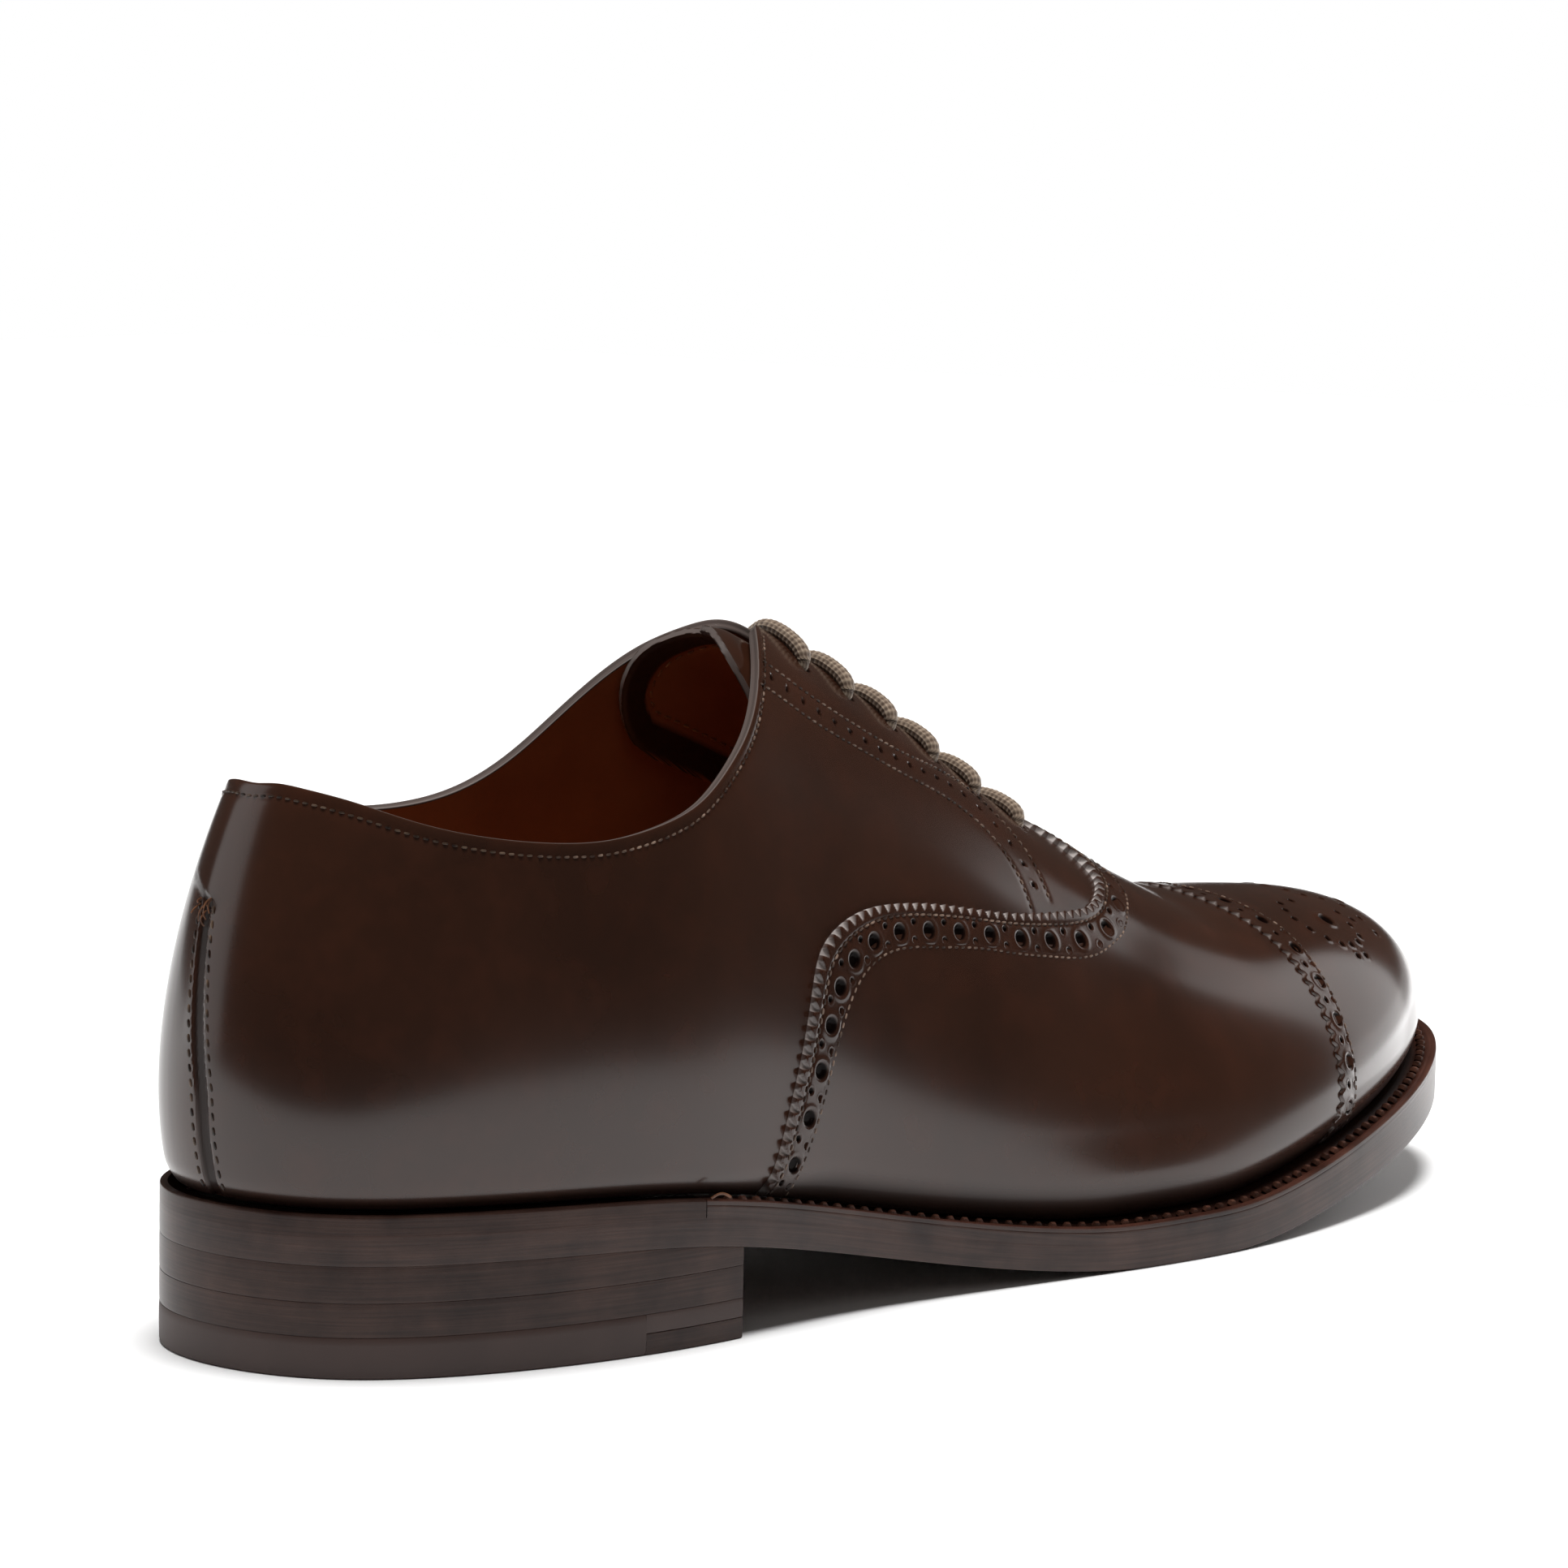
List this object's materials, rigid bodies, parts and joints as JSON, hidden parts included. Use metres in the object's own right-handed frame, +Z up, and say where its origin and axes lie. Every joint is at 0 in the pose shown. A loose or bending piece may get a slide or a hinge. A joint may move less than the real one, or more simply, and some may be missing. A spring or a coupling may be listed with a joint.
{
  "type": "brogue oxford shoe",
  "caption": "Right-foot cap-toe brogue oxford: hollow lasted leather upper with punched overlays, closed lacing, stitched welt, leather sole and stacked heel, standing empty on its sole.",
  "frame": {"origin": "on the floor under the middle of the shoe's bounding box", "axes": "+X to the toe, +Y to the inner side of the foot, +Z up from the floor"},
  "size_m": [0.3032, 0.0989, 0.1175],
  "materials": {
    "calf": "dark brown calf, polished",
    "lining": "reddish tan lining leather, matt",
    "sole_leather": "dark stained edge, satin",
    "rubber": "dark brown, matt",
    "lace": "round waxed cotton, taupe brown"
  },
  "bodies": {
    "root": {"upper": "calf", "vamp": "calf", "toe_cap": "calf", "tongue": "calf", "lace_bar_1": "lace", "lace_bar_2": "lace", "lace_bar_3": "lace", "lace_bar_4": "lace", "lace_bar_5": "lace", "lace_bar_6": "lace", "insole": "lining", "welt": "sole_leather", "heel_rand": "sole_leather", "outsole": "sole_leather", "heel_lift_upper": "sole_leather", "heel_lift_lower": "sole_leather", "heel_top_rubber": "rubber", "heel_tip": "sole_leather"}
  },
  "joints": []
}
